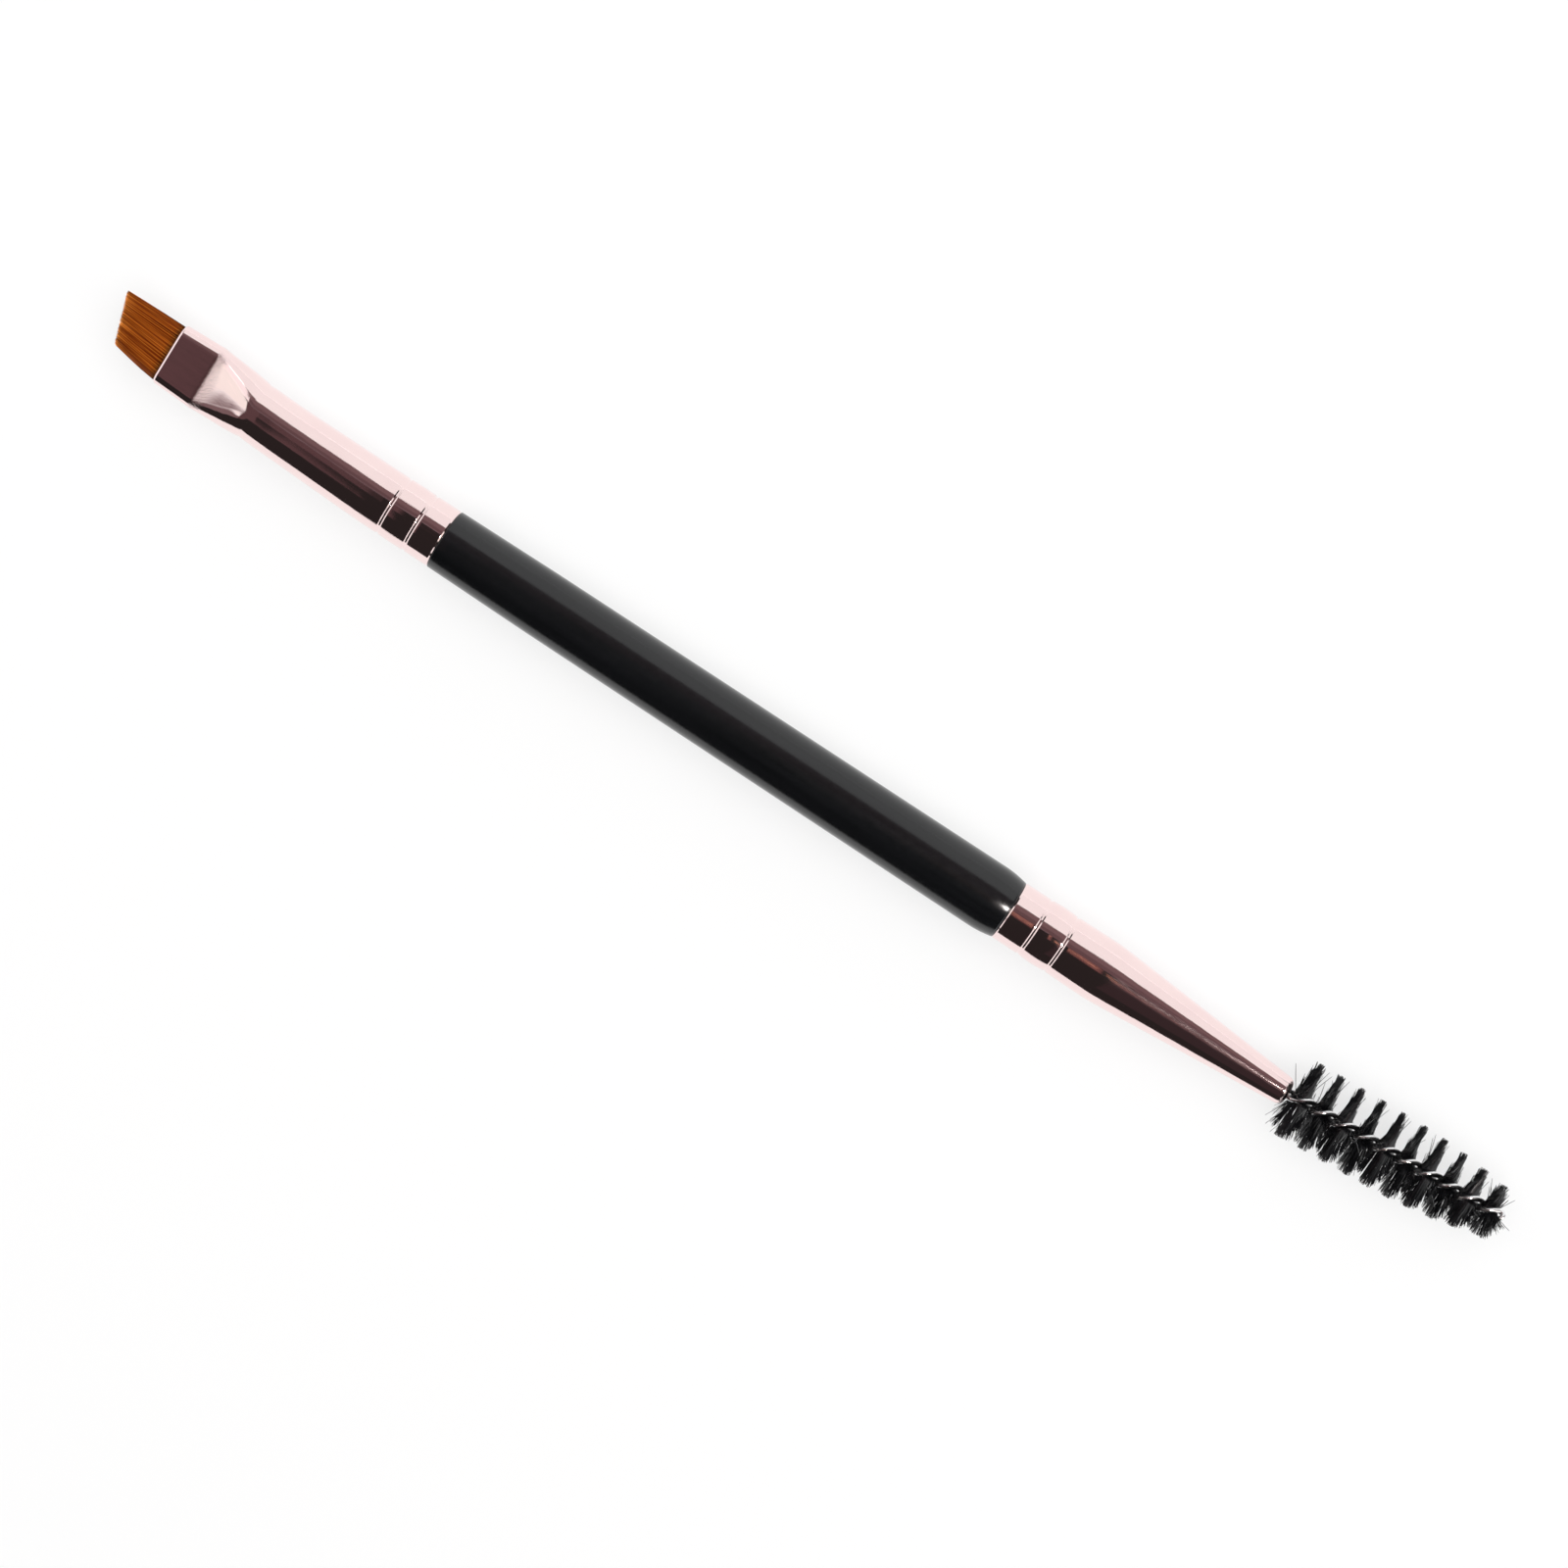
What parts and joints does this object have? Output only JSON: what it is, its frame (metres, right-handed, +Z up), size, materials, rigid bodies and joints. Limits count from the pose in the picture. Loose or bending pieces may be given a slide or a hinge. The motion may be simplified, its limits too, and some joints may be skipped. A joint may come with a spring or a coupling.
{
  "type": "eyebrow brush",
  "caption": "Double-ended brow brush: a slanted flat tuft in a pressed ferrule, a round handle, and a tapered spiral brush on a conical ferrule.",
  "frame": {"origin": "on the table under the middle of the brush, which lies on its side", "axes": "+X along the brush towards the spiral brush, +Z up and square to the pressed face of the flat ferrule, +Y towards the long edge of the slanted tuft"},
  "size_m": [0.1724, 0.0095, 0.0089],
  "materials": {
    "handle_lacquer": "black satin lacquer on turned wood",
    "rose_gold": "polished rose-gold anodised sheet",
    "amber_hair": "fine amber-brown synthetic hair",
    "clear_glue": "set amber-tinted glue",
    "steel_wire": "plain drawn soft steel wire",
    "black_nylon": "black nylon filament"
  },
  "bodies": {
    "root": {"handle": "handle_lacquer", "angled_ferrule": "rose_gold", "angled_tuft": "amber_hair", "tuft_glue": "clear_glue", "spoolie_ferrule": "rose_gold", "spoolie_glue": "clear_glue", "spoolie_wire": "steel_wire", "spoolie_bristles": "black_nylon"}
  },
  "joints": []
}
